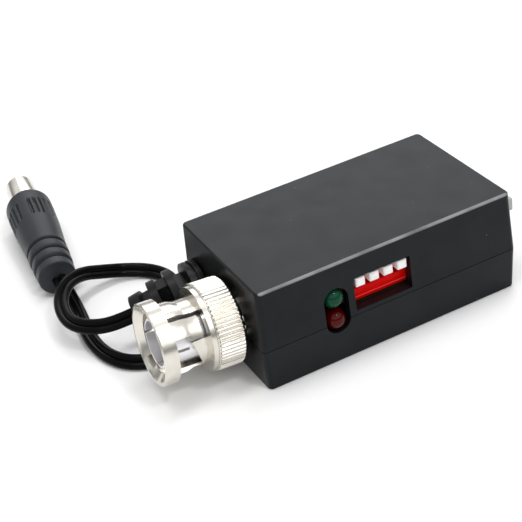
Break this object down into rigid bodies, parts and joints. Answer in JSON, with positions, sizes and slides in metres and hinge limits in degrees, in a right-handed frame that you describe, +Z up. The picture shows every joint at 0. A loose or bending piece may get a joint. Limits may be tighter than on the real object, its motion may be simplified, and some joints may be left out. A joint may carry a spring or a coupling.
{
  "type": "video balun",
  "caption": "Small black case with a bayonet video plug, a looped power lead and plug, two lamps, a four-way slide switch and push terminals.",
  "frame": {"origin": "middle of the case's underside", "axes": "+X along the case, away from the bayonet plug; -Y the side with the lamps and the switch; +Z up"},
  "size_m": [0.0716, 0.0818, 0.018],
  "materials": {
    "case_black": "satin, fine moulded texture",
    "screw_steel": "zinc plated",
    "board_green": "solder mask",
    "lead_steel": "tinned",
    "lamp_green": "tinted clear, unlit",
    "lamp_red": "tinted clear, unlit",
    "switch_red": "moulded",
    "slider_white": "moulded",
    "capacitor_sleeve": "shrink sleeve",
    "chip_epoxy": "moulded",
    "ferrite": "sintered",
    "winding": "enamelled wire",
    "nickel": "nickel plated, satin",
    "gold_pin": "gold flash",
    "white_insulator": "moulded",
    "gasket_rubber": "moulded",
    "spring_steel": "spring temper",
    "relief_black": "moulded",
    "cord_black": "glossy sheath",
    "grip_black": "matt moulded",
    "plug_black": "moulded",
    "terminal_dark": "moulded",
    "button_grey": "moulded"
  },
  "bodies": {
    "case": {"upper_shell": "case_black", "lower_shell": "case_black", "case_screw_far": "screw_steel", "case_screw_near": "screw_steel", "circuit_board": "board_green", "lamp_green": "lamp_green", "lamp_green_leads": "lead_steel", "lamp_red": "lamp_red", "lamp_red_leads": "lead_steel", "switch_body": "switch_red", "smoothing_capacitor": "capacitor_sleeve", "line_driver_chip": "chip_epoxy", "balun_core": "ferrite", "balun_winding_input": "winding", "balun_winding_output": "winding", "plug_body": "nickel", "outer_contact": "nickel", "insulator": "white_insulator", "centre_pin": "gold_pin", "plug_gasket": "gasket_rubber", "spring_washer": "spring_steel", "thrust_washer": "spring_steel", "strain_relief": "relief_black", "power_cord": "cord_black", "power_plug_grip": "grip_black", "power_plug_barrel": "nickel", "power_plug_insulator": "plug_black", "power_plug_contact": "nickel", "terminal_cell_1": "terminal_dark", "terminal_cell_2": "terminal_dark", "terminal_cell_3": "terminal_dark", "terminal_cell_4": "terminal_dark"},
    "coupling_nut": {"nut_grip": "nickel", "nut_sleeve": "nickel"},
    "slider_1": {"switch_slider_1": "slider_white"},
    "button_1": {"terminal_button_1": "button_grey"},
    "slider_2": {"switch_slider_2": "slider_white"},
    "button_2": {"terminal_button_2": "button_grey"},
    "slider_3": {"switch_slider_3": "slider_white"},
    "button_3": {"terminal_button_3": "button_grey"},
    "slider_4": {"switch_slider_4": "slider_white"},
    "button_4": {"terminal_button_4": "button_grey"}
  },
  "joints": [
    {"name": "coupling_nut_turn", "type": "hinge", "parent": "case", "child": "coupling_nut", "pos_m": [-0.0235, -0.0038, 0.00897], "axis": [-0.9983, 0.0261, 0.0523], "continuous": true},
    {"name": "slider_1_slide", "type": "slide", "parent": "case", "child": "slider_1", "axis": [0, 0, -1], "range_m": [0, 0.0012]},
    {"name": "slider_2_slide", "type": "slide", "parent": "case", "child": "slider_2", "axis": [0, 0, -1], "range_m": [0, 0.0012]},
    {"name": "slider_3_slide", "type": "slide", "parent": "case", "child": "slider_3", "axis": [0, 0, -1], "range_m": [0, 0.0012]},
    {"name": "slider_4_slide", "type": "slide", "parent": "case", "child": "slider_4", "axis": [0, 0, -1], "range_m": [0, 0.0012]},
    {"name": "button_1_press", "type": "slide", "parent": "case", "child": "button_1", "axis": [-1, 0, 0], "range_m": [0, 0.0016], "stiffness_N_per_m": 900, "springref_m": -0.0005},
    {"name": "button_2_press", "type": "slide", "parent": "case", "child": "button_2", "axis": [-1, 0, 0], "range_m": [0, 0.0016], "stiffness_N_per_m": 900, "springref_m": -0.0005},
    {"name": "button_3_press", "type": "slide", "parent": "case", "child": "button_3", "axis": [-1, 0, 0], "range_m": [0, 0.0016], "stiffness_N_per_m": 900, "springref_m": -0.0005},
    {"name": "button_4_press", "type": "slide", "parent": "case", "child": "button_4", "axis": [-1, 0, 0], "range_m": [0, 0.0016], "stiffness_N_per_m": 900, "springref_m": -0.0005}
  ]
}
